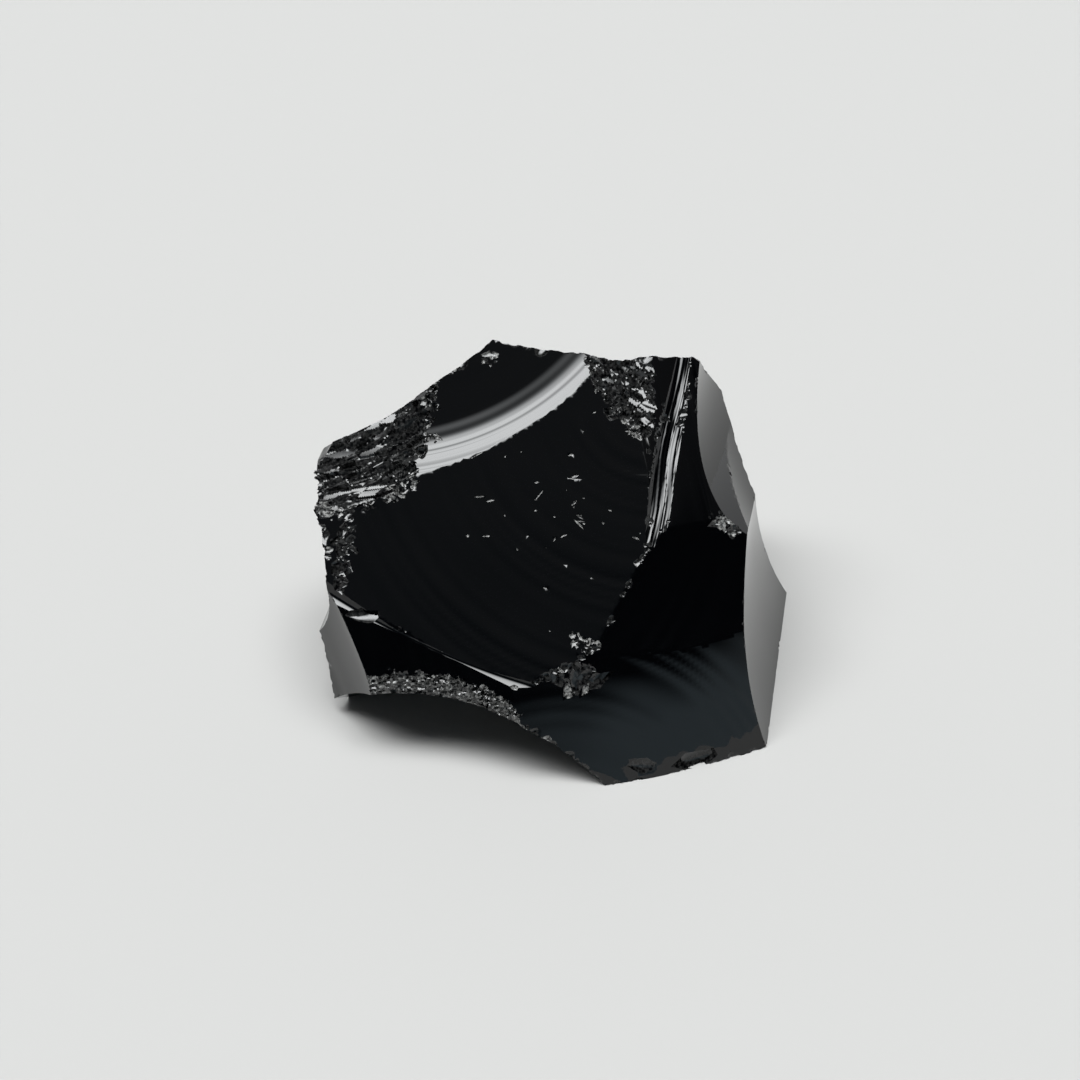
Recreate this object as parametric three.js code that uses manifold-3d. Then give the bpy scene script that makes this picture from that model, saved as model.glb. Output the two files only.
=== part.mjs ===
// A chunk of raw obsidian, broken on every side, resting on a flat base.
// Millimetres, +Z up, origin under the middle of its box at the base.
//
// The chunk is a block that has lost a flake on each side, and each flake left a scar.
// heading: which way the scar faces, in degrees round Z. 0 is -Y, 90 is +X, 180 is +Y.
// tilt: how far it faces up, in degrees. 90 is straight up, -90 straight down.
// seat: a point that the scar passes through.
// bow: its radii across and up the slope. Positive is hollow, negative domed, 0 flat.
// turn: degrees that the two radii are turned round the seat.
// rim: beyond this radius, from a centre across and up the slope, the scar flares outward at the
// given slope. soft is how far the bend into the flare is rounded.
import * as THREE from 'three';
import { mergeVertices } from 'three/addons/utils/BufferGeometryUtils.js';
import Module from 'manifold-3d';

const blank = { width: 72, depth: 62, height: 44, centreY: 4 };

// The cap's bowl turns up along an arc struck from behind its upper left corner, and the chute
// has one steep wall, on its left.
const capRim = { centre: [-20, 40], radius: 33.5, slope: 0.27, soft: 2 };
const chuteWall = { centre: [400, 0], radius: 401.2, slope: 0.9, soft: 0.6 };

const scars = {
  broadFace: { heading: 0, tilt: 50, seat: [-1.5, 0.5, 26], bow: [500, 0] },
  cap: { heading: -1, tilt: 50, seat: [-1.5, 1, 25.6], bow: [0, 0], rim: capRim, pitch: 1.1 },
  lowerFace: { heading: -10, tilt: 31, seat: [-12, -14, 13.5], bow: [0, 0] },
  leftFlank: { heading: -55, tilt: 0, seat: [-25, -8.5, 10], bow: [60, 90] },
  shelf: { heading: -40, tilt: 55, seat: [-18, 9, 30], bow: [22, 22], pitch: 1.4, layers: 0.35 },
  shoulder: { heading: 78, tilt: 24, seat: [18.5, 10, 30], bow: [-200, 16], pitch: 1.6 },
  shoulderFoot: { heading: 87, tilt: 28, seat: [21.5, 9, 25.8], bow: [60, 40] },
  rightFlank: { heading: 81, tilt: 10, seat: [23.7, -6, 13], bow: [0, 60] },
  rightFace: { heading: 17, tilt: 26, seat: [13, -16, 6], bow: [-100, -80] },
  rightSlope: { heading: 20, tilt: 40, seat: [12, -5, 21], bow: [-200, 200] },
  chute: {
    heading: -7, tilt: 56, seat: [14, 3.5, 27.5], bow: [7, 0], turn: -5, rim: chuteWall, pitch: 1.2,
  },
  saddle: {
    heading: 10, tilt: 60, seat: [9.5, 11.5, 34], bow: [7, 60], turn: 12, pitch: 1.4, layers: 0.25,
  },
  undercut: { heading: -25, tilt: -50, seat: [-8, -8.5, 4.5], bow: [26, 36] },
  backTop: { heading: 170, tilt: 30, seat: [0, 15.5, 39], bow: [60, 60] },
  backBroad: { heading: 175, tilt: 15, seat: [2, 25, 20], bow: [70, 70] },
  backLeft: { heading: -140, tilt: 33, seat: [-15, 12.5, 35], bow: [60, 80] },
  leftBack: { heading: -96, tilt: -5, seat: [-25, 2, 19], bow: [90, 11], pitch: 1.4 },
  leftFoot: { heading: -108, tilt: -15, seat: [-26.5, -3, 7], bow: [60, 0] },
  leftShoulder: { heading: -100, tilt: 36, seat: [-28, 9, 27], bow: [0, 0] },
  leftRear: { heading: -132, tilt: 8, seat: [-20, 20, 12], bow: [60, 60] },
  backRight: { heading: 108, tilt: 8, seat: [24.5, 14, 21], bow: [90, 60] },
  shoulderTop: { heading: 140, tilt: 42, seat: [19.5, 16, 36], bow: [-80, -80] },
  sideRight: { heading: 107, tilt: 6, seat: [33, 9, 8], bow: [0, 0] },
  rearRight: { heading: 140, tilt: -5, seat: [23, 25, 12], bow: [50, 50] },
  rearFoot: { heading: -170, tilt: -30, seat: [-4, 23, 4], bow: [50, 50] },
};

const scarReach = 52; // half the side of a cutter
const cutterDepth = 60;
const smoothPitch = 2.6; // grid of a scar that states no pitch of its own
const layerLength = 7; // length of one step of the broken layers

const wasm = await Module();
wasm.setup();

function toSolid(geometry) {
  const shared = geometry.clone();
  shared.deleteAttribute('normal');
  shared.deleteAttribute('uv');
  const merged = mergeVertices(shared, 1e-4);
  return new wasm.Manifold(new wasm.Mesh({
    numProp: 3,
    vertProperties: new Float32Array(merged.attributes.position.array),
    triVerts: new Uint32Array(merged.index.array),
  }));
}

function toGeometry(solid) {
  const mesh = solid.getMesh();
  const geometry = new THREE.BufferGeometry();
  geometry.setAttribute('position', new THREE.BufferAttribute(mesh.vertProperties, 3));
  geometry.setIndex(new THREE.BufferAttribute(mesh.triVerts, 1));
  geometry.computeVertexNormals();
  return geometry;
}

function bowHeight(distance, radius) {
  return radius === 0 ? 0 : (distance * distance) / (2 * radius);
}

function rimHeight(across, upslope, rim) {
  const beyond = Math.hypot(across - rim.centre[0], upslope - rim.centre[1]) - rim.radius;
  return rim.slope * 0.5 * (beyond + Math.hypot(beyond, rim.soft));
}

// Broken layers: uneven steps that run along the slope.
function layerHeight(u, v) {
  const along = (2 * Math.PI * (u + 0.4 * v)) / layerLength;
  const across = (2 * Math.PI * (v - 0.3 * u)) / (0.6 * layerLength);
  return Math.sin(along) * Math.sin(across + Math.sin(0.7 * along));
}

function scarHeight(scar, u, v) {
  const turn = THREE.MathUtils.degToRad(scar.turn ?? 0);
  const across = u * Math.cos(turn) + v * Math.sin(turn);
  const upslope = v * Math.cos(turn) - u * Math.sin(turn);
  let height = bowHeight(across, scar.bow[0]) + bowHeight(upslope, scar.bow[1]);
  if (scar.rim) height += rimHeight(across, upslope, scar.rim);
  if (scar.layers) height += scar.layers * layerHeight(u, v);
  return height;
}

// The lost flake: a slab whose near side is the scar and which runs out past the block.
function flakeSolid(scar) {
  const side = 2 * scarReach;
  const steps = Math.round(side / (scar.pitch ?? smoothPitch));
  const slab = new THREE.BoxGeometry(side, side, cutterDepth, steps, steps, 1);
  slab.translate(0, 0, cutterDepth / 2);
  const position = slab.attributes.position;
  for (let i = 0; i < position.count; i += 1) {
    if (position.getZ(i) > cutterDepth / 2) continue;
    position.setZ(i, scarHeight(scar, position.getX(i), position.getY(i)));
  }
  const heading = THREE.MathUtils.degToRad(scar.heading);
  const tilt = THREE.MathUtils.degToRad(scar.tilt);
  const across = new THREE.Vector3(Math.cos(heading), Math.sin(heading), 0);
  const outward = new THREE.Vector3(
    Math.sin(heading) * Math.cos(tilt),
    -Math.cos(heading) * Math.cos(tilt),
    Math.sin(tilt),
  );
  const upslope = new THREE.Vector3().crossVectors(outward, across);
  const place = new THREE.Matrix4().makeBasis(across, upslope, outward);
  place.setPosition(...scar.seat);
  return toSolid(slab.applyMatrix4(place));
}

function chunkGeometry() {
  const block = new THREE.BoxGeometry(blank.width, blank.depth, blank.height);
  block.translate(0, blank.centreY, blank.height / 2);
  let solid = toSolid(block);
  for (const scar of Object.values(scars)) solid = solid.subtract(flakeSolid(scar));
  const geometry = toGeometry(solid);
  geometry.computeBoundingBox();
  const middle = geometry.boundingBox.getCenter(new THREE.Vector3());
  return geometry.translate(-middle.x, -middle.y, 0);
}

const obsidian = new THREE.MeshStandardMaterial({ color: 0x08090a, roughness: 0.05, metalness: 0 });

const chunk = new THREE.Mesh(chunkGeometry(), obsidian);
chunk.name = 'obsidian_chunk';

const part = new THREE.Group();
part.add(chunk);

export default part;
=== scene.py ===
import math
import random

import bpy
import numpy as np
from mathutils import Matrix, Vector


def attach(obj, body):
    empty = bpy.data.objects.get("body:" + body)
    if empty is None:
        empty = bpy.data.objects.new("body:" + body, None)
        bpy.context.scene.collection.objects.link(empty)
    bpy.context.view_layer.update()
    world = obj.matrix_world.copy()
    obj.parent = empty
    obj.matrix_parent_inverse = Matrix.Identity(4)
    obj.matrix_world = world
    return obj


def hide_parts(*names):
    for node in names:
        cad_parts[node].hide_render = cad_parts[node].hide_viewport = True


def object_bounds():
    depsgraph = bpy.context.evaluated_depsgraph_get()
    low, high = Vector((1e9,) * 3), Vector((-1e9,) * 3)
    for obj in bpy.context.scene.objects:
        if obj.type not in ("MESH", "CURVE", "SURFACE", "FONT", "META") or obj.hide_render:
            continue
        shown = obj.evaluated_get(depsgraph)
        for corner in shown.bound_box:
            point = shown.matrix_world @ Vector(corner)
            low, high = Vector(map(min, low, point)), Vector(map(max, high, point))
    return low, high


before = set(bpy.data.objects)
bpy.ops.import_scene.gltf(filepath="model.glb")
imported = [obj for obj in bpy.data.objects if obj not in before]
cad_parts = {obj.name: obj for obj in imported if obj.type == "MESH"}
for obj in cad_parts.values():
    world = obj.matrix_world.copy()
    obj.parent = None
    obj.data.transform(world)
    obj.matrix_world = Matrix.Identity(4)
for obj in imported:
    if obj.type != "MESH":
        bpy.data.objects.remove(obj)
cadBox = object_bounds()
mm = 0.001

# Kinds of wear. Each is also a material slot, which carries it through the cuts.
clean, chipped, crushedChip, crushedBand = range(4)


# The stone is a block that lost a flake on every side. heading is the way a scar faces, in
# degrees round Z (0 is -Y, 90 is +X). tilt is how far it faces up. seat is a point on it, in mm.
# bow holds its radii across and up the slope: positive hollow, negative domed, 0 flat.
# turn swings those two ways round the seat, in degrees. pitch is the grid across and up the slope.
# rim: past a radius the scar flares out at a slope, inside that radius when side is -1.
# rings ripple round a struck point, swell is a slow unevenness, broken is splintered glass,
# grooves run up the slope, wear is its kind of wear, and back marks a side with fewer chips.
# Lengths inside a scar are mm, from its seat: across is +u, up the slope is +v.
# A scar's place in the list seeds its unevenness, so rightBevel and sideRight keep theirs, although
# their neighbours now cut them away.
stone = {
    "blank": (72, 62, 44),
    "blankMiddle": (0, 4, 22),
    "coarsePitch": (3.0, 3.0),
    "finePitch": (0.5, 0.5),
    "backPitch": (0.8, 0.8),
    "reach": 56,  # mm from a scar's seat to the sides of the slab that cuts it
    "farLines": (2, 6),  # mm past the fine grid, on the way to those sides
    "flakeDepth": 60,
    "sharpAngle": 22,  # degrees between facets that stay crisp
    "creaseAngle": 14,  # degrees between scars whose shared edge wears
    "onScar": 0.12,  # mm off a scar that still counts as on it
    "clearance": 1,  # mm of fine grid past what a scar shows
    "powder": {clean: 0.0, chipped: 0.08, crushedChip: 1.0, crushedBand: 0.5},
}

scars = {
    "broadFace": dict(heading=0, tilt=50, seat=(-1.5, 0.5, 26), bow=(500, 0),
                      rings=[dict(centre=(14, 13), wave=1.7, height=0.03),
                             dict(centre=(18, 20), wave=0.9, height=0.004)],
                      swell=0.05),
    "cap": dict(heading=-1, tilt=50, seat=(-1.5, 1, 25.6), bow=(0, 0), pitch=(0.22, 0.1),
                rim=dict(centre=(-20, 40), radius=33.5, slope=0.27, soft=2),
                rings=[dict(centre=(-20, 40), wave=0.5, height=0.008, start=33),
                       dict(centre=(-20, 40), wave=1.4, height=0.02, start=33),
                       dict(centre=(-20, 40), wave=2.6, height=0.006)],
                swell=0.02),
    "lowerFace": dict(heading=-10, tilt=31, seat=(-12, -14, 13.5), bow=(0, 0),
                      rings=[dict(centre=(30, 12), wave=2.6, height=0.015)], swell=0.05),
    "lip": dict(heading=10, tilt=60, seat=(-12, -13.5, 14.3), bow=(0, 0), turn=-31, pitch=(0.3, 0.07),
                rim=dict(centre=(0, 90), radius=89.8, slope=1.2, soft=0.1, side=-1), swell=0.02),
    "hem": dict(heading=-14, tilt=12, seat=(-10, -15.5, 11), bow=(60, 0), pitch=(0.13, 0.13),
                wear=crushedBand, broken=dict(size=0.36, stretch=1.6, lean=15, step=0.3, tip=0.9)),
    "leftFlank": dict(heading=-55, tilt=0, seat=(-25, -8.5, 10), bow=(60, 90),
                      rings=[dict(centre=(20, 18), wave=4.4, height=0.06)], swell=0.04),
    "shelf": dict(heading=-40, tilt=55, seat=(-18, 9, 30), bow=(22, 22), pitch=(0.17, 0.17),
                  wear=chipped, broken=dict(size=0.7, stretch=4.0, lean=58, step=0.5, tip=0.9)),
    "shoulder": dict(heading=78, tilt=24, seat=(18.5, 10, 30), bow=(-200, 16), swell=0.04),
    "shoulderFoot": dict(heading=87, tilt=28, seat=(21.5, 9, 25.8), bow=(60, 40), swell=0.03),
    "rightFlank": dict(heading=81, tilt=10, seat=(23.7, -6, 13), bow=(0, 60), swell=0.02),
    "rightBevel": dict(heading=55, tilt=28, seat=(24, -4.9, 15.9), bow=(0, 0), pitch=(0.3, 0.3),
                       wear=chipped, broken=dict(size=0.5, stretch=3.0, lean=90, step=0.1, tip=0.3)),
    "rightFace": dict(heading=17, tilt=26, seat=(13, -16, 6), bow=(-100, -80),
                      rings=[dict(centre=(-14, -14), wave=2.4, height=0.03)], swell=0.05),
    "rightSlope": dict(heading=20, tilt=40, seat=(12, -5, 21), bow=(-200, 200),
                       rings=[dict(centre=(-26, 20), wave=2.6, height=0.018)], swell=0.05),
    "chute": dict(heading=-7, tilt=56, seat=(14, 3.5, 27.5), bow=(7, 0), turn=-5, pitch=(0.1, 0.8),
                  rim=dict(centre=(400, 0), radius=401.2, slope=0.9, soft=0.6),
                  grooves=dict(wave=1.1, height=0.06), swell=0.03),
    "saddle": dict(heading=10, tilt=60, seat=(9.5, 11.5, 34), bow=(7, 60), turn=12, pitch=(0.17, 0.17),
                   wear=chipped, broken=dict(size=0.55, stretch=2.4, lean=-60, step=0.4, tip=0.8)),
    "undercut": dict(heading=-25, tilt=-50, seat=(-8, -8.5, 4.5), bow=(26, 36), swell=0.05),
    "backTop": dict(heading=170, tilt=30, seat=(0, 15.5, 39), bow=(60, 60), back=True,
                    rings=[dict(centre=(4, 26), wave=2.8, height=0.035)], swell=0.06),
    "backBroad": dict(heading=175, tilt=15, seat=(2, 25, 20), bow=(70, 70), back=True,
                      rings=[dict(centre=(-22, 18), wave=3.2, height=0.05)], swell=0.08),
    "backLeft": dict(heading=-140, tilt=33, seat=(-15, 12.5, 35), bow=(60, 80), back=True,
                     rings=[dict(centre=(-12, 22), wave=2.2, height=0.03)], swell=0.05),
    "leftBack": dict(heading=-96, tilt=-5, seat=(-25, 2, 19), bow=(90, 11), swell=0.04,
                     rings=[dict(centre=(18, 14), wave=2.0, height=0.02)]),
    "leftFoot": dict(heading=-108, tilt=-15, seat=(-26.5, -3, 7), bow=(60, 0), swell=0.05),
    "leftShoulder": dict(heading=-100, tilt=36, seat=(-28, 9, 27), bow=(0, 0), pitch=(0.3, 0.3),
                         broken=dict(size=1.2, stretch=2.6, lean=-15, step=0.4, tip=0.4)),
    "leftRear": dict(heading=-132, tilt=8, seat=(-20, 20, 12), bow=(60, 60), back=True,
                     rings=[dict(centre=(16, 14), wave=3.0, height=0.04)], swell=0.08),
    "backRight": dict(heading=108, tilt=8, seat=(24.5, 14, 21), bow=(90, 60), back=True,
                      rings=[dict(centre=(-10, 20), wave=2.6, height=0.03)], swell=0.06),
    "shoulderTop": dict(heading=140, tilt=42, seat=(19.5, 16, 36), bow=(-80, -80), back=True,
                        swell=0.05),
    "sideRight": dict(heading=107, tilt=6, seat=(33, 9, 8), bow=(0, 0), back=True,
                      rings=[dict(centre=(12, 14), wave=2.6, height=0.03)], swell=0.05),
    "rearRight": dict(heading=140, tilt=-5, seat=(23, 25, 12), bow=(50, 50), back=True,
                      rings=[dict(centre=(14, 16), wave=3.4, height=0.05)], swell=0.08),
    "rearFoot": dict(heading=-170, tilt=-30, seat=(-4, 23, 4), bow=(50, 50), back=True,
                     swell=0.06),
}


def hashNoise(i, j, salt):
    # the same number from 0 to 1 for the same whole numbers
    x = np.sin(i * 127.1 + j * 311.7 + salt * 74.7) * 43758.5453
    return x - np.floor(x)


def scarAxes(scar):
    heading = math.radians(scar["heading"])
    tilt = math.radians(scar["tilt"])
    outward = np.array([math.sin(heading) * math.cos(tilt),
                        -math.cos(heading) * math.cos(tilt),
                        math.sin(tilt)])
    level = np.array([math.cos(heading), math.sin(heading), 0.0])
    upslope = np.cross(outward, level)
    turn = math.radians(scar.get("turn", 0))
    across = level * math.cos(turn) + upslope * math.sin(turn)
    return across, np.cross(outward, across), outward


def bowHeight(distance, radius):
    if radius == 0:
        return distance * 0.0
    return distance * distance / (2 * radius)


def ringHeight(u, v, ring, salt):
    # ripples round the point that was struck, uneven in pitch and strength
    rho = np.hypot(u - ring["centre"][0], v - ring["centre"][1])
    phase = rho / ring["wave"]
    uneven = 0.35 * np.sin(phase * 1.7 + salt) + 0.25 * np.sin(phase * 0.61 + 2 * salt)
    strength = 0.6 + 0.4 * np.sin(phase * 0.83 + 3 * salt)
    strength = strength * np.clip(rho - ring.get("start", -1), 0, 1)  # some begin some way out
    return ring["height"] * strength * np.sin(2 * math.pi * (phase + uneven))


def swellHeight(u, v, salt):
    # a slow unevenness, so that no scar is a perfect bowl
    total = u * 0.0
    for k in range(5):
        angle = 2.4 * k + salt
        wave = 9.0 + 3.1 * k
        along = u * math.cos(angle) + v * math.sin(angle)
        total = total + np.sin(2 * math.pi * along / wave + 5 * k * salt)
    return total / 5


def rimHeight(u, v, rim):
    beyond = np.hypot(u - rim["centre"][0], v - rim["centre"][1]) - rim["radius"]
    beyond = beyond * rim.get("side", 1)
    return rim["slope"] * 0.5 * (beyond + np.hypot(beyond, rim["soft"]))


def brokenHeight(u, v, broken, salt):
    # splintered glass: leaning flat bits, each with its own tilt, longer one way
    lean = math.radians(broken["lean"])
    p = (u * math.cos(lean) + v * math.sin(lean)) / (broken["size"] * broken["stretch"])
    q = (v * math.cos(lean) - u * math.sin(lean)) / broken["size"]
    nearest = np.full(u.shape, 9.0)
    height = np.zeros(u.shape)
    for di in (-1, 0, 1):
        for dj in (-1, 0, 1):
            i = np.floor(p) + di
            j = np.floor(q) + dj
            dp = p - i - hashNoise(i, j, salt)
            dq = q - j - hashNoise(i, j, salt + 1)
            distance = dp * dp + dq * dq
            tipP = hashNoise(i, j, salt + 2) - 0.5
            tipQ = hashNoise(i, j, salt + 3) - 0.5
            rise = hashNoise(i, j, salt + 4) - 0.5
            tipped = tipP * dp * broken["stretch"] * 0.5 + 2 * tipQ * dq
            flat = broken["step"] * rise + broken["tip"] * broken["size"] * tipped
            closer = distance < nearest
            nearest = np.where(closer, distance, nearest)
            height = np.where(closer, flat, height)
    return height


def scarHeight(name, u, v, detail=True):
    scar = scars[name]
    salt = 1.0 + list(scars).index(name)
    height = bowHeight(u, scar["bow"][0]) + bowHeight(v, scar["bow"][1])
    if "rim" in scar:
        height = height + rimHeight(u, v, scar["rim"])
    if not detail:
        return height
    for k, ring in enumerate(scar.get("rings", [])):
        height = height + ringHeight(u, v, ring, salt + 7 * k)
    if "swell" in scar:
        height = height + scar["swell"] * swellHeight(u, v, salt)
    if "broken" in scar:
        height = height + brokenHeight(u, v, scar["broken"], salt)
    if "grooves" in scar:
        wave = scar["grooves"]["wave"]
        phase = u / wave + 0.2 * np.sin(v / 4.0)
        finer = 2.3 * phase + 0.3 * np.sin(v / 2.3)
        groove = np.sin(2 * math.pi * phase) + 0.5 * np.sin(2 * math.pi * finer)
        height = height + scar["grooves"]["height"] * groove
    return height


def scarDistance(name, points):
    # how far points (mm) stand outside a scar's surface, measured along its outward way
    across, upslope, outward = scarAxes(scars[name])
    offset = points - np.array(scars[name]["seat"], float)
    u = offset @ across
    v = offset @ upslope
    return offset @ outward - scarHeight(name, u, v, detail=False), u, v


def addMesh(name, vertices, faces):
    mesh = bpy.data.meshes.new(name)
    mesh.from_pydata(vertices, [], faces)
    mesh.update()
    piece = bpy.data.objects.new(name, mesh)
    bpy.context.scene.collection.objects.link(piece)
    return piece


def gridLines(low, high, pitch, reach):
    # fine lines where the scar shows, and a few far ones to carry the slab past the block
    count = max(2, int(math.ceil((high - low) / pitch)) + 1)
    fine = np.linspace(low, high, count)
    near, far = stone["farLines"]
    before = [x for x in (-reach, low - far, low - near) if x < low]
    after = [x for x in (high + near, high + far, reach) if x > high]
    return np.concatenate([before, fine, after])


def flakeSlab(name, uRange, vRange, pitch, detail):
    scar = scars[name]
    us = gridLines(uRange[0], uRange[1], pitch[0], stone["reach"])
    vs = gridLines(vRange[0], vRange[1], pitch[1], stone["reach"])
    gridU, gridV = np.meshgrid(us, vs, indexing="ij")
    height = scarHeight(name, gridU, gridV, detail)
    across, upslope, outward = scarAxes(scar)
    near = gridU[..., None] * across + gridV[..., None] * upslope + height[..., None] * outward
    near = near.reshape(-1, 3)
    far = []
    for u, v in ((us[0], vs[0]), (us[-1], vs[0]), (us[-1], vs[-1]), (us[0], vs[-1])):
        far.append(u * across + v * upslope + stone["flakeDepth"] * outward)
    vertices = (np.vstack([near, far]) + np.array(scar["seat"], float)) * mm
    nu = len(us)
    nv = len(vs)
    index = np.arange(nu * nv).reshape(nu, nv)
    quads = np.stack([index[:-1, :-1], index[:-1, 1:], index[1:, 1:], index[1:, :-1]], -1)
    corner = nu * nv
    faces = quads.reshape(-1, 4).tolist()
    faces.append([corner, corner + 1, corner + 2, corner + 3])
    faces.append(index[-1, :].tolist() + [corner + 2, corner + 1])
    faces.append(index[0, ::-1].tolist() + [corner, corner + 3])
    faces.append(index[::-1, -1].tolist() + [corner + 3, corner + 2])
    faces.append(index[:, 0].tolist() + [corner + 1, corner])
    slab = addMesh("flake", vertices.tolist(), faces)
    if detail:
        addWearSlots(slab)
        slab.data.polygons.foreach_set("material_index", [scar.get("wear", clean)] * len(faces))
    return slab


def addWearSlots(slotted):
    # one slot for each kind of wear, so that every cut leaves its own kind behind
    for kind in stone["powder"]:
        name = "wear_%d" % kind
        slotted.data.materials.append(bpy.data.materials.get(name) or bpy.data.materials.new(name))


def takeAway(piece, cutter):
    cut = piece.modifiers.new("cut", "BOOLEAN")
    cut.operation = "DIFFERENCE"
    cut.solver = "MANIFOLD"
    cut.object = cutter
    evaluated = piece.evaluated_get(bpy.context.evaluated_depsgraph_get())
    cutMesh = bpy.data.meshes.new_from_object(evaluated)
    piece.modifiers.clear()
    old = piece.data
    piece.data = cutMesh
    bpy.data.meshes.remove(old)
    spent = cutter.data
    bpy.data.objects.remove(cutter)
    bpy.data.meshes.remove(spent)


def vertexArray(mesh):
    flat = np.zeros(len(mesh.vertices) * 3, np.float32)
    mesh.vertices.foreach_get("co", flat)
    return flat.reshape(-1, 3).astype(float)


def blockMesh():
    w, d, h = stone["blank"]
    middle = stone["blankMiddle"]
    corners = []
    for z in (-h / 2, h / 2):
        for x, y in ((-w / 2, -d / 2), (w / 2, -d / 2), (w / 2, d / 2), (-w / 2, d / 2)):
            corners.append(((middle[0] + x) * mm, (middle[1] + y) * mm, (middle[2] + z) * mm))
    faces = [(3, 2, 1, 0), (4, 5, 6, 7), (0, 1, 5, 4), (1, 2, 6, 5), (2, 3, 7, 6), (3, 0, 4, 7)]
    return addMesh("stone_blank", corners, faces)


def roughOut():
    # a quick coarse stone, only to learn how far each scar spreads
    block = blockMesh()
    reach = stone["reach"]
    for name in scars:
        whole = (-reach + 1, reach - 1)
        takeAway(block, flakeSlab(name, whole, whole, stone["coarsePitch"], False))
    points = vertexArray(block.data) / mm
    spread = {}
    for name in scars:
        distance, u, v = scarDistance(name, points)
        on = np.abs(distance) < stone["onScar"]
        if on.any():
            more = stone["clearance"]
            spread[name] = ((u[on].min() - more, u[on].max() + more),
                            (v[on].min() - more, v[on].max() + more))
    spent = block.data
    bpy.data.objects.remove(block)
    bpy.data.meshes.remove(spent)
    return spread


def scarAt(name, u, v):
    # the point (mm) of a scar at its own u, v
    across, upslope, outward = scarAxes(scars[name])
    height = float(scarHeight(name, np.array([u], float), np.array([v], float), detail=False)[0])
    return np.array(scars[name]["seat"], float) + u * across + v * upslope + height * outward


def owners(points):
    # which scar each point (mm) lies on
    distances = [np.abs(scarDistance(name, points)[0]) for name in scars]
    distances.append(np.abs(points[:, 2]))  # the base
    return np.stack(distances).argmin(0)


class Dishes:
    # small flakes, all closed shells, dealt out so that no two in a round touch
    spokes = 6
    rings = ((0.5, -0.62), (1.0, 0.0), (1.3, 0.5))  # reach, and height in depths
    lidReach = 1.5
    spacing = 1.6  # radius of the room a dish needs, in its longest sides
    deepest = (-0.5, 0.5)  # how far off the middle, as a share of the length
    wobble = (0.7, 1.15)  # how far out a spoke reaches
    swing = (-0.3, 0.3)  # how far a spoke strays, in spokes

    def __init__(self):
        self.rounds = []

    def add(self, middle, facing, way, length, width, depth, kind=chipped):
        reach = self.spacing * max(length, width)
        dish = dict(middle=middle, facing=facing, way=way, length=length, width=width, depth=depth,
                    reach=reach, kind=kind)
        for batch in self.rounds:
            if all(np.linalg.norm(middle - other["middle"]) > reach + other["reach"] for other in batch):
                batch.append(dish)
                return
        self.rounds.append([dish])

    def shell(self, rng, dish, vertices, faces):
        middle = dish["middle"]
        length, width, depth = dish["length"], dish["width"], dish["depth"]
        facing = dish["facing"] / np.linalg.norm(dish["facing"])
        way = dish["way"] - facing * (dish["way"] @ facing)
        way = way / np.linalg.norm(way)
        side = np.cross(facing, way)
        deepest = rng.uniform(*self.deepest)
        wobble = [rng.uniform(*self.wobble) for _ in range(self.spokes)]
        angles = [2 * math.pi * (k + rng.uniform(*self.swing)) / self.spokes for k in range(self.spokes)]
        base = len(vertices)
        vertices.append(middle + deepest * length * way - depth * facing)
        lid = min(length, width)
        levelled = [(r, h * depth) for r, h in self.rings] + [(self.lidReach, lid)]
        for reach, rise in levelled:
            for k in range(self.spokes):
                along = reach * wobble[k] * math.cos(angles[k]) + deepest * max(0, 1 - reach)
                beside = reach * wobble[k] * math.sin(angles[k])
                vertices.append(middle + along * length * way + beside * width * side + rise * facing)
        vertices.append(middle + lid * facing)
        apex = len(vertices) - 1
        levels = len(self.rings) + 1
        for k in range(self.spokes):
            following = (k + 1) % self.spokes
            faces.append((base, base + 1 + following, base + 1 + k))
            for level in range(levels - 1):
                inner = base + 1 + level * self.spokes
                outer = inner + self.spokes
                faces.append((inner + k, inner + following, outer + following, outer + k))
            last = base + 1 + (levels - 1) * self.spokes
            faces.append((last + k, last + following, apex))

    def cut(self, piece, seed):
        rng = random.Random(seed)
        for batch in self.rounds:
            vertices = []
            faces = []
            kinds = []
            for dish in batch:
                before = len(faces)
                self.shell(rng, dish, vertices, faces)
                kinds += [dish["kind"]] * (len(faces) - before)
            cutter = addMesh("chips", (np.array(vertices) * mm).tolist(), faces)
            addWearSlots(cutter)
            cutter.data.polygons.foreach_set("material_index", kinds)
            takeAway(piece, cutter)


# Each kind of random draw starts from its own seed.
seeds = dict(edges=11, bruises=23, nicks=31, dishes=5)

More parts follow.
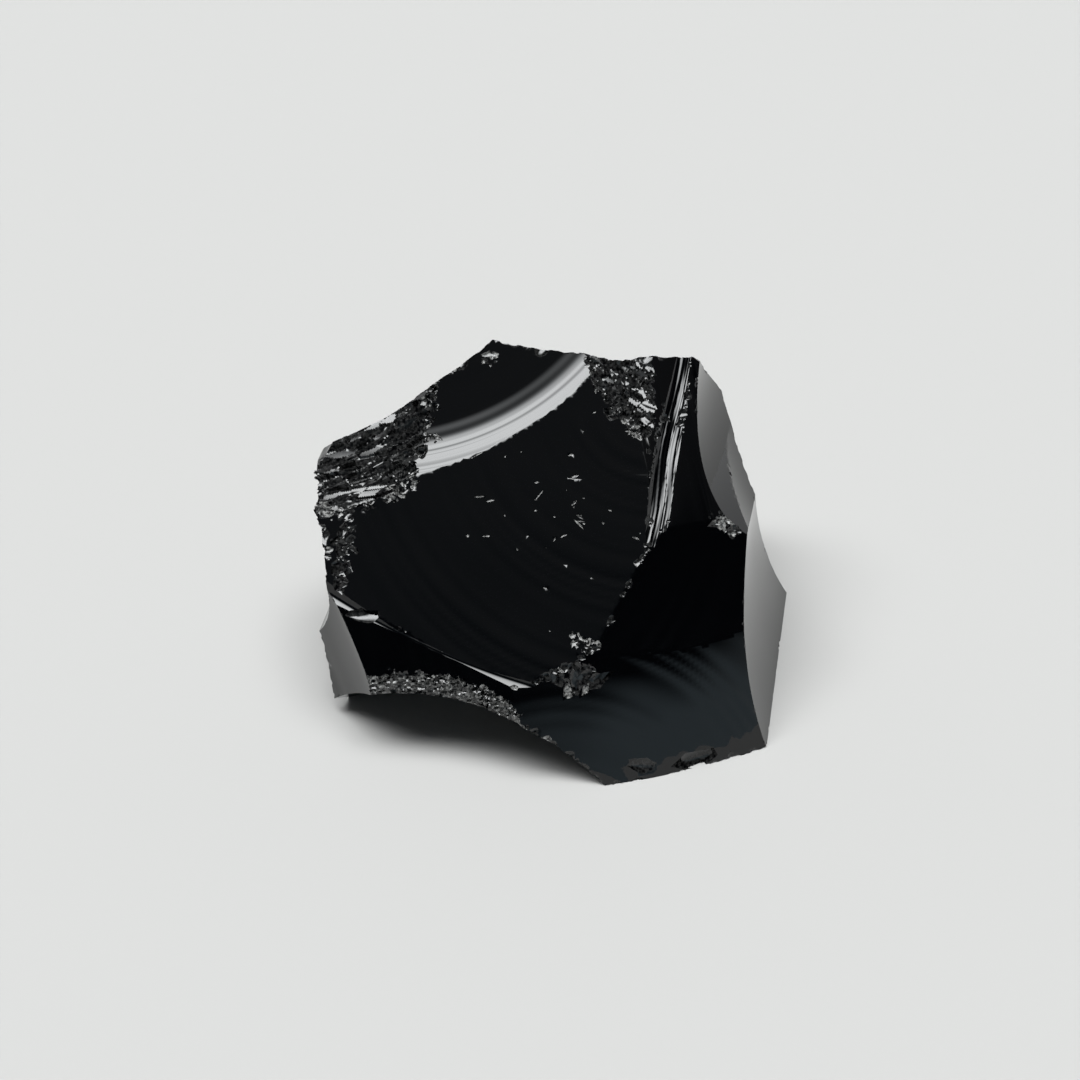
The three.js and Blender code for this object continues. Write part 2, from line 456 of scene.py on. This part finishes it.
# Wear along the edges where two scars meet: a chip every so many mm, from small to large in mm,
# how many of them went to white powder, and how far in mm they drift from the edge.
wear = {
    "plain": dict(every=1.8, size=(0.2, 0.7), powder=0.0),
    "back": dict(every=2.2, size=(0.3, 1.3), powder=0.0),
    ("lowerFace", "hem"): dict(every=0.16, size=(0.12, 0.45), powder=0.5, spread=0.5),
    ("hem", "undercut"): dict(every=0.5, size=(0.2, 0.6), powder=0.3, spread=0.3),
    ("broadFace", "chute"): dict(every=0.35, size=(0.2, 0.6), powder=0.15, spread=0.5),
    ("broadFace", "rightSlope"): dict(every=0.3, size=(0.18, 0.7), powder=0.15, spread=0.4),
    ("broadFace", "rightFace"): dict(every=0.4, size=(0.25, 0.9), powder=0.15, spread=0.5),
    ("broadFace", "saddle"): dict(every=0.35, size=(0.2, 0.7), powder=0.25, spread=0.4),
    ("broadFace", "shelf"): dict(every=0.25, size=(0.2, 0.7), powder=0.5, spread=0.7),
    ("broadFace", "leftBack"): dict(every=0.3, size=(0.25, 0.9), powder=0.15, spread=1.2),
    ("cap", "shelf"): dict(every=0.35, size=(0.2, 0.8), powder=0.2, spread=0.5),
    ("cap", "saddle"): dict(every=0.45, size=(0.2, 0.7), powder=0.15, spread=0.3),
    ("cap", "backTop"): dict(every=0.8, size=(0.4, 1.7), powder=0.05, spread=0.3),
    ("cap", "backLeft"): dict(every=0.8, size=(0.4, 1.7), powder=0.05, spread=0.3),
    ("saddle", "backTop"): dict(every=0.5, size=(0.25, 0.9), powder=0.1, spread=0.4),
    ("saddle", "chute"): dict(every=0.4, size=(0.2, 0.6), powder=0.1, spread=0.4),
    ("shoulder", "chute"): dict(every=0.4, size=(0.2, 0.7), powder=0.1, spread=0.3),
    ("rightFlank", "rightFace"): dict(every=1.2, size=(0.15, 0.5), powder=0.0),
    ("leftFlank", "lowerFace"): dict(every=0.7, size=(0.12, 0.4), powder=0.2),
    ("leftFlank", "leftFoot"): dict(every=0.6, size=(0.3, 0.9), powder=0.0, spread=0.3),
    ("rightFace", "base"): dict(every=0.5, size=(0.3, 1.2), powder=0.1, spread=0.4),
    ("rightFace", "undercut"): dict(every=0.4, size=(0.25, 0.8), powder=0.25, spread=0.6),
    ("cap", "broadFace"): dict(every=60, size=(0.2, 0.3), powder=0.0),
    ("broadFace", "lip"): dict(every=8, size=(0.12, 0.25), powder=0.0),
    ("lip", "lowerFace"): dict(every=8, size=(0.12, 0.25), powder=0.0),
    ("rightFace", "rightSlope"): dict(every=60, size=(0.2, 0.3), powder=0.0),
}


# A chip's own shape, in its size where it isn't an angle: skew makes large ones rarer, inset moves it
# over the edge, tilt and spin are how far it leans and turns.
edgeChip = dict(skew=2.2, driftSkew=1.5, inset=0.15, slide=(-0.5, 0.5), tilt=(0.1, 0.5), spin=(-0.5, 0.5),
                long=(0.8, 1.5), wide=(0.7, 1.2), deep=(0.16, 0.34))
bruiseChip = dict(skew=2, tilt=(-0.5, 0.5), long=(1, 2), wide=0.8, deep=(0.25, 0.5))


def edgeWear(first, second):
    for pair in ((first, second), (second, first)):
        if pair in wear:
            return wear[pair]
    hidden = any(name == "base" or scars[name].get("back") for name in (first, second))
    return wear["back"] if hidden else wear["plain"]


def creases(mesh):
    # the edges where two scars meet at an angle: middle, way, length, the two facings and owners
    count = len(mesh.polygons)
    centre = np.zeros(count * 3, np.float32)
    mesh.polygons.foreach_get("center", centre)
    normal = np.zeros(count * 3, np.float32)
    mesh.polygons.foreach_get("normal", normal)
    total = np.zeros(count, np.int32)
    mesh.polygons.foreach_get("loop_total", total)
    edgeOfLoop = np.zeros(len(mesh.loops), np.int32)
    mesh.loops.foreach_get("edge_index", edgeOfLoop)
    ends = np.zeros(len(mesh.edges) * 2, np.int32)
    mesh.edges.foreach_get("vertices", ends)
    normal = normal.reshape(-1, 3).astype(float)
    owner = owners(centre.reshape(-1, 3).astype(float) / mm)
    face = np.repeat(np.arange(count), total)
    order = np.argsort(edgeOfLoop, kind="stable")
    pairs = face[order].reshape(-1, 2)
    points = vertexArray(mesh) / mm
    ends = ends.reshape(-1, 2)
    cosine = (normal[pairs[:, 0]] * normal[pairs[:, 1]]).sum(1)
    bent = cosine < math.cos(math.radians(stone["creaseAngle"]))
    chosen = np.where(bent & (owner[pairs[:, 0]] != owner[pairs[:, 1]]))[0]
    start = points[ends[chosen, 0]]
    stop = points[ends[chosen, 1]]
    return (start + stop) / 2, stop - start, normal[pairs[chosen]], owner[pairs[chosen]]


def chipEdges(piece, dishes):
    rng = random.Random(seeds["edges"])
    names = list(scars) + ["base"]
    middles, ways, facings, pairOwners = creases(piece.data)
    lengths = np.linalg.norm(ways, axis=1)
    for k in range(len(middles)):
        look = edgeWear(names[pairOwners[k][0]], names[pairOwners[k][1]])
        expected = lengths[k] / look["every"]
        while expected > rng.random():
            expected -= 1
            side = rng.randrange(2)
            facing = facings[k][side]
            other = facings[k][1 - side]
            small, large = look["size"]
            size = small + (large - small) * rng.random() ** edgeChip["skew"]
            way = ways[k] / lengths[k]
            inward = -(other - facing * (other @ facing))
            inward = inward / (np.linalg.norm(inward) + 1e-9)
            drift = look.get("spread", 0.0) * (rng.random() ** edgeChip["driftSkew"])
            slide = way * rng.uniform(*edgeChip["slide"]) * lengths[k]
            middle = middles[k] + slide + inward * (drift - edgeChip["inset"] * size)
            tilt = rng.uniform(*edgeChip["tilt"])
            spin = Matrix.Rotation(rng.uniform(*edgeChip["spin"]), 3, Vector(facing))
            lean = facing - inward * tilt
            kind = crushedChip if rng.random() < look["powder"] else chipped
            length = size * rng.uniform(*edgeChip["long"])
            width = size * rng.uniform(*edgeChip["wide"])
            depth = size * rng.uniform(*edgeChip["deep"])
            dishes.add(middle, lean, np.array(spin @ Vector(inward)), length, width, depth, kind)


# Bruised patches: where on a scar, how wide (mm along and across), how many chips, and their size.
bruises = {
    "under the shoulder": dict(on="rightSlope", at=(10.3, 4.2), wide=(2.9, 1.2), lean=-58, count=70,
                               size=(0.2, 0.7), powder=0.3),
    "foot of the shelf": dict(on="broadFace", at=(-16.5, 2), wide=(2.6, 0.6), lean=22, count=44,
                              size=(0.15, 0.5), powder=0.8),
    "left edge": dict(on="broadFace", at=(-23, -5), wide=(6, 0.9), lean=85, count=80,
                      size=(0.2, 0.8), powder=0.1),
    "end of the ledge": dict(on="broadFace", at=(-24, -12.3), wide=(1.7, 0.8), lean=-35, count=30,
                             size=(0.25, 0.8), powder=0.05),
    "hackles": dict(on="broadFace", at=(5.5, -16.5), wide=(1.8, 0.9), lean=-30, count=30,
                    size=(0.15, 0.5), powder=0.6),
    "low corner": dict(on="rightFace", at=(-9, 7.5), wide=(2.2, 1.6), lean=0, count=22,
                       size=(0.4, 1.0), powder=0.15),
    "chute bank": dict(on="chute", at=(-2.8, 2), wide=(0.7, 7), lean=0, count=80,
                       size=(0.18, 0.6), powder=0.1),
    "end of the band": dict(on="cap", at=(-13, 8.5), wide=(1.0, 0.5), lean=-30, count=10,
                            size=(0.2, 0.5), powder=0.4),
    "cap corner": dict(on="cap", at=(-6, 18), wide=(1.0, 0.7), lean=20, count=7,
                       size=(0.2, 0.6), powder=0.3),
}

# Stray nicks on the broad face: how many, round which point, how far they scatter, and their size.
nicks = dict(on="broadFace", count=44, at=(2.5, -2), scatter=(5.5, 6.5), long=(0.1, 0.75),
             thin=(0.07, 0.16), lean=(-50, 70), skew=2.5, deep=0.35)

# Larger single flakes (mm): a point on the edge that each took, the way it faces, and its size.
flakes = {
    "lens": dict(at=(-22.2, -9.6, 17.2), heading=4, tilt=62, long=2.0, wide=0.8, deep=0.12),
    "toe": dict(at=(11.5, -18.6, 1.8), heading=10, tilt=20, long=2.9, wide=1.7, deep=0.4),
    "toe side": dict(at=(17, -16.6, 0.8), heading=25, tilt=16, long=2.6, wide=0.9, deep=0.3),
}


def bruise(dishes):
    rng = random.Random(seeds["bruises"])
    for patch in bruises.values():
        across, upslope, outward = scarAxes(scars[patch["on"]])
        lean = math.radians(patch["lean"])
        for _ in range(patch["count"]):
            r = math.sqrt(rng.random())
            angle = rng.uniform(0, 2 * math.pi)
            along = r * math.cos(angle) * patch["wide"][0]
            beside = r * math.sin(angle) * patch["wide"][1]
            u = patch["at"][0] + along * math.cos(lean) - beside * math.sin(lean)
            v = patch["at"][1] + along * math.sin(lean) + beside * math.cos(lean)
            small, large = patch["size"]
            size = small + (large - small) * rng.random() ** bruiseChip["skew"]
            tilt = bruiseChip["tilt"]
            facing = outward + across * rng.uniform(*tilt) + upslope * rng.uniform(*tilt)
            way = across * rng.uniform(-1, 1) + upslope * rng.uniform(-1, 1)
            kind = crushedChip if rng.random() < patch["powder"] else chipped
            length = size * rng.uniform(*bruiseChip["long"])
            width = size * bruiseChip["wide"]
            depth = size * rng.uniform(*bruiseChip["deep"])
            dishes.add(scarAt(patch["on"], u, v), facing, way, length, width, depth, kind)


def nick(dishes):
    rng = random.Random(seeds["nicks"])
    across, upslope, outward = scarAxes(scars[nicks["on"]])
    for _ in range(nicks["count"]):
        u = rng.gauss(nicks["at"][0], nicks["scatter"][0])
        v = rng.gauss(nicks["at"][1], nicks["scatter"][1])
        lean = math.radians(rng.uniform(*nicks["lean"]))
        way = across * math.cos(lean) + upslope * math.sin(lean)
        shortest, longest = nicks["long"]
        length = shortest + (longest - shortest) * rng.random() ** nicks["skew"]
        width = rng.uniform(*nicks["thin"])
        depth = nicks["deep"] * width
        dishes.add(scarAt(nicks["on"], u, v), outward, way, length, width, depth, crushedChip)


def flake(dishes):
    for look in flakes.values():
        across, upslope, outward = scarAxes(look)
        dishes.add(np.array(look["at"], float), outward, across, look["long"], look["wide"], look["deep"])


def buildStone():
    spread = roughOut()
    piece = blockMesh()
    addWearSlots(piece)
    for name, scar in scars.items():
        if name not in spread:
            continue
        pitch = scar.get("pitch", stone["backPitch"] if scar.get("back") else stone["finePitch"])
        takeAway(piece, flakeSlab(name, spread[name][0], spread[name][1], pitch, True))
    piece.name = "obsidian_stone"
    piece.data.name = "obsidian_stone"
    print("stone cut:", len(piece.data.polygons), "faces")
    return piece


def chipStone(piece):
    dishes = Dishes()
    chipEdges(piece, dishes)
    bruise(dishes)
    nick(dishes)
    flake(dishes)
    dishes.cut(piece, seeds["dishes"])
    piece.data.validate(clean_customdata=False)  # the cuts leave a few slivers
    chips = sum(len(batch) for batch in dishes.rounds)
    print("stone chipped:", chips, "chips,", len(piece.data.polygons), "faces")


def markWear(piece):
    # what was chipped or crushed becomes an attribute that the finish reads
    mesh = piece.data
    kinds = np.zeros(len(mesh.polygons), np.int32)
    mesh.polygons.foreach_get("material_index", kinds)
    powder = np.array([stone["powder"][kind] for kind in sorted(stone["powder"])])[kinds]
    layer = mesh.attributes.new("powder", "FLOAT", "FACE")
    layer.data.foreach_set("value", powder.astype(np.float32))
    mesh.polygons.foreach_set("material_index", np.zeros(len(kinds), np.int32))
    mesh.materials.clear()
    mesh.shade_smooth()
    mesh.polygons.foreach_set("use_smooth", kinds == clean)


class Wire:
    # a shader socket that does sums: an expression on wires adds its Math nodes
    def __init__(self, sheet, socket):
        self.sheet = sheet
        self.socket = socket

    def sum(self, operation, first, second):
        return self.sheet.node("ShaderNodeMath", {"operation": operation}, {0: first, 1: second})

    def __add__(self, other):
        return self.sum("ADD", self, other)

    def __radd__(self, other):
        return self.sum("ADD", other, self)

    def __sub__(self, other):
        return self.sum("SUBTRACT", self, other)

    def __rsub__(self, other):
        return self.sum("SUBTRACT", other, self)

    def __mul__(self, other):
        return self.sum("MULTIPLY", self, other)

    def __rmul__(self, other):
        return self.sum("MULTIPLY", other, self)

    def __truediv__(self, other):
        return self.sum("DIVIDE", self, other)

    def __gt__(self, other):
        return self.sum("GREATER_THAN", self, other)


class Sheet:
    # the node tree of one material or world
    def __init__(self, owner):
        owner.use_nodes = True
        self.tree = owner.node_tree
        self.tree.nodes.clear()

    def node(self, kind, settings=None, inputs=None, output=0):
        made = self.tree.nodes.new(kind)
        for key, value in (settings or {}).items():
            setattr(made, key, value)
        for key, value in (inputs or {}).items():
            if isinstance(value, Wire):
                self.tree.links.new(value.socket, made.inputs[key])
            else:
                made.inputs[key].default_value = value
        return Wire(self, made.outputs[output]) if made.outputs else made

    def mixColour(self, factor, first, second):
        return self.node("ShaderNodeMix", {"data_type": "RGBA"}, {0: factor, 6: first, 7: second}, 2)

    def noise(self, place, scale, detail=3.0, roughness=0.5):
        return self.node("ShaderNodeTexNoise", None,
                         {"Vector": place, "Scale": scale, "Detail": detail, "Roughness": roughness})

    def steps(self, value, low, high):
        return self.node("ShaderNodeMapRange", {"interpolation_type": "SMOOTHSTEP"},
                         {0: value, 1: low, 2: high, 3: 0.0, 4: 1.0})

    def window(self, value, edges):
        # rises over the first two edges and falls over the last two
        return self.steps(value, edges[0], edges[1]) * (1 - self.steps(value, edges[2], edges[3]))


obsidianLook = {
    "glass": (0.0007, 0.0008, 0.0011, 1),
    "dust": (0.30, 0.30, 0.29, 1),
    "polish": 0.02,
    "haze": 0.02,
    "dustRough": 0.4,
    "dustCover": 0.9,
    "cloudSize": 90.0,
    "gritSize": 2600.0,
    "gritRange": (0.35, 0.7),
}


def obsidianMaterial():
    material = bpy.data.materials.new("volcanic_glass")
    sheet = Sheet(material)
    place = sheet.node("ShaderNodeTexCoord", None, None, 3)
    cloud = sheet.noise(place, obsidianLook["cloudSize"], 4.0)
    grit = sheet.noise(place, obsidianLook["gritSize"], 3.0)
    powder = sheet.node("ShaderNodeAttribute", {"attribute_name": "powder"}, None, 2)
    dusty = powder * sheet.steps(grit, *obsidianLook["gritRange"])
    roughness = obsidianLook["polish"] + cloud * obsidianLook["haze"] + dusty * obsidianLook["dustRough"]
    cover = dusty * obsidianLook["dustCover"]
    colour = sheet.mixColour(cover, obsidianLook["glass"], obsidianLook["dust"])
    shader = sheet.node("ShaderNodeBsdfPrincipled", None,
                        {"Base Color": colour, "Roughness": roughness, "IOR": 1.5})
    sheet.node("ShaderNodeOutputMaterial", None, {"Surface": shader})
    return material


studio = {
    "floor": (0.455, 0.45, 0.44, 1),
    "floorSize": 6.0,
    "light": (0.97, 0.99, 1.0, 1),
    "frontLight": (0.72, 0.90, 1.0, 1),
    "panel": 14.0,
    "panelAcross": (-1.05, -0.6, 0.2, 0.5),  # edges of the lamp overhead, as x over z
    "panelAlong": (-0.40, -0.14, -0.04, 0.28),  # and as y over z
    "spill": 0.13,
    "spillAcross": (-1.5, -0.6, 0.2, 1.2),
    "spillAlong": (-1.0, -0.36, 0.3, 1.0),
    "lowest": 0.2,  # no lamp below this z
    "horizon": 0.85,
    "fadeFrom": (0.14, 0.21),  # z where the horizon's glow starts to fade, and how much more behind
    "fadeTo": (0.36, 0.29),
    "behind": (0.1, 0.6),  # y over which the world turns to what is behind
    "front": (0.2, 0.8),
    "frontDim": 0.8,
    "right": (0.0, 0.5),
    "rightLift": 0.45,
    "dark": 0.004,
    "cameraTilt": 38,
    "cameraDistance": 0.310,
    "lens": 85,
    "aim": (-1.2, 1.66, 20.1),
}


def layFloor():
    half = studio["floorSize"] / 2
    corners = [(-half, -half, 0), (half, -half, 0), (half, half, 0), (-half, half, 0)]
    floor = addMesh("floor", corners, [(0, 1, 2, 3)])
    material = bpy.data.materials.new("pale_paper")
    sheet = Sheet(material)
    shader = sheet.node("ShaderNodeBsdfPrincipled", None, {"Base Color": studio["floor"], "Roughness": 0.9})
    sheet.node("ShaderNodeOutputMaterial", None, {"Surface": shader})
    floor.data.materials.append(material)


def paintWorld():
    world = bpy.data.worlds.new("dark_studio")
    bpy.context.scene.world = world
    sheet = Sheet(world)
    direction = sheet.node("ShaderNodeTexCoord", None, None, 0)
    x, y, z = [sheet.node("ShaderNodeSeparateXYZ", None, {0: direction}, k) for k in range(3)]
    back = sheet.steps(y, *studio["behind"])
    fadeFrom, fadeTo = [studio[key][0] + back * studio[key][1] for key in ("fadeFrom", "fadeTo")]
    low = 1 - sheet.steps(z, fadeFrom, fadeTo)
    front = sheet.steps(0 - y, *studio["front"])
    dim = studio["frontDim"] - sheet.steps(x, *studio["right"]) * studio["rightLift"]
    px = x / z
    py = y / z
    panel = sheet.window(px, studio["panelAcross"]) * sheet.window(py, studio["panelAlong"])
    spill = sheet.window(px, studio["spillAcross"]) * sheet.window(py, studio["spillAlong"])
    overhead = (panel * studio["panel"] + spill * studio["spill"]) * (z > studio["lowest"])
    strength = studio["horizon"] * low * (1 - front * dim) + overhead + studio["dark"]
    colour = sheet.mixColour(front, studio["light"], studio["frontLight"])
    sky = sheet.node("ShaderNodeBackground", None, {"Color": colour, "Strength": strength})
    sheet.node("ShaderNodeOutputWorld", None, {"Surface": sky})


def placeCamera(shift):
    tilt = math.radians(studio["cameraTilt"])
    away = Vector((0, -math.cos(tilt), math.sin(tilt)))
    aim = Vector(studio["aim"]) * mm + shift
    lens = bpy.data.cameras.new("camera")
    lens.lens = studio["lens"]
    lens.sensor_width = 36
    lens.clip_start = 0.01
    camera = bpy.data.objects.new("camera", lens)
    camera.location = aim + away * studio["cameraDistance"]
    camera.rotation_euler = away.to_track_quat("Z", "Y").to_euler()
    bpy.context.scene.collection.objects.link(camera)
    bpy.context.scene.camera = camera


piece = buildStone()
points = vertexArray(piece.data)
middle = (points.min(0) + points.max(0)) / 2
cadMiddle = (Vector(cadBox[0]) + Vector(cadBox[1])) / 2
shift = Vector((cadMiddle.x - middle[0], cadMiddle.y - middle[1], 0))
chipStone(piece)
markWear(piece)
piece.data.transform(Matrix.Translation(shift))
piece.data.materials.append(obsidianMaterial())
piece.data.set_sharp_from_angle(angle=math.radians(stone["sharpAngle"]))
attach(piece, "root")
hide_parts("obsidian_chunk")

print("stone finished and moved by", [round(x / mm, 2) for x in shift], "mm")

layFloor()
paintWorld()
placeCamera(shift)
bpy.context.scene.view_settings.view_transform = "Standard"
print("studio ready")
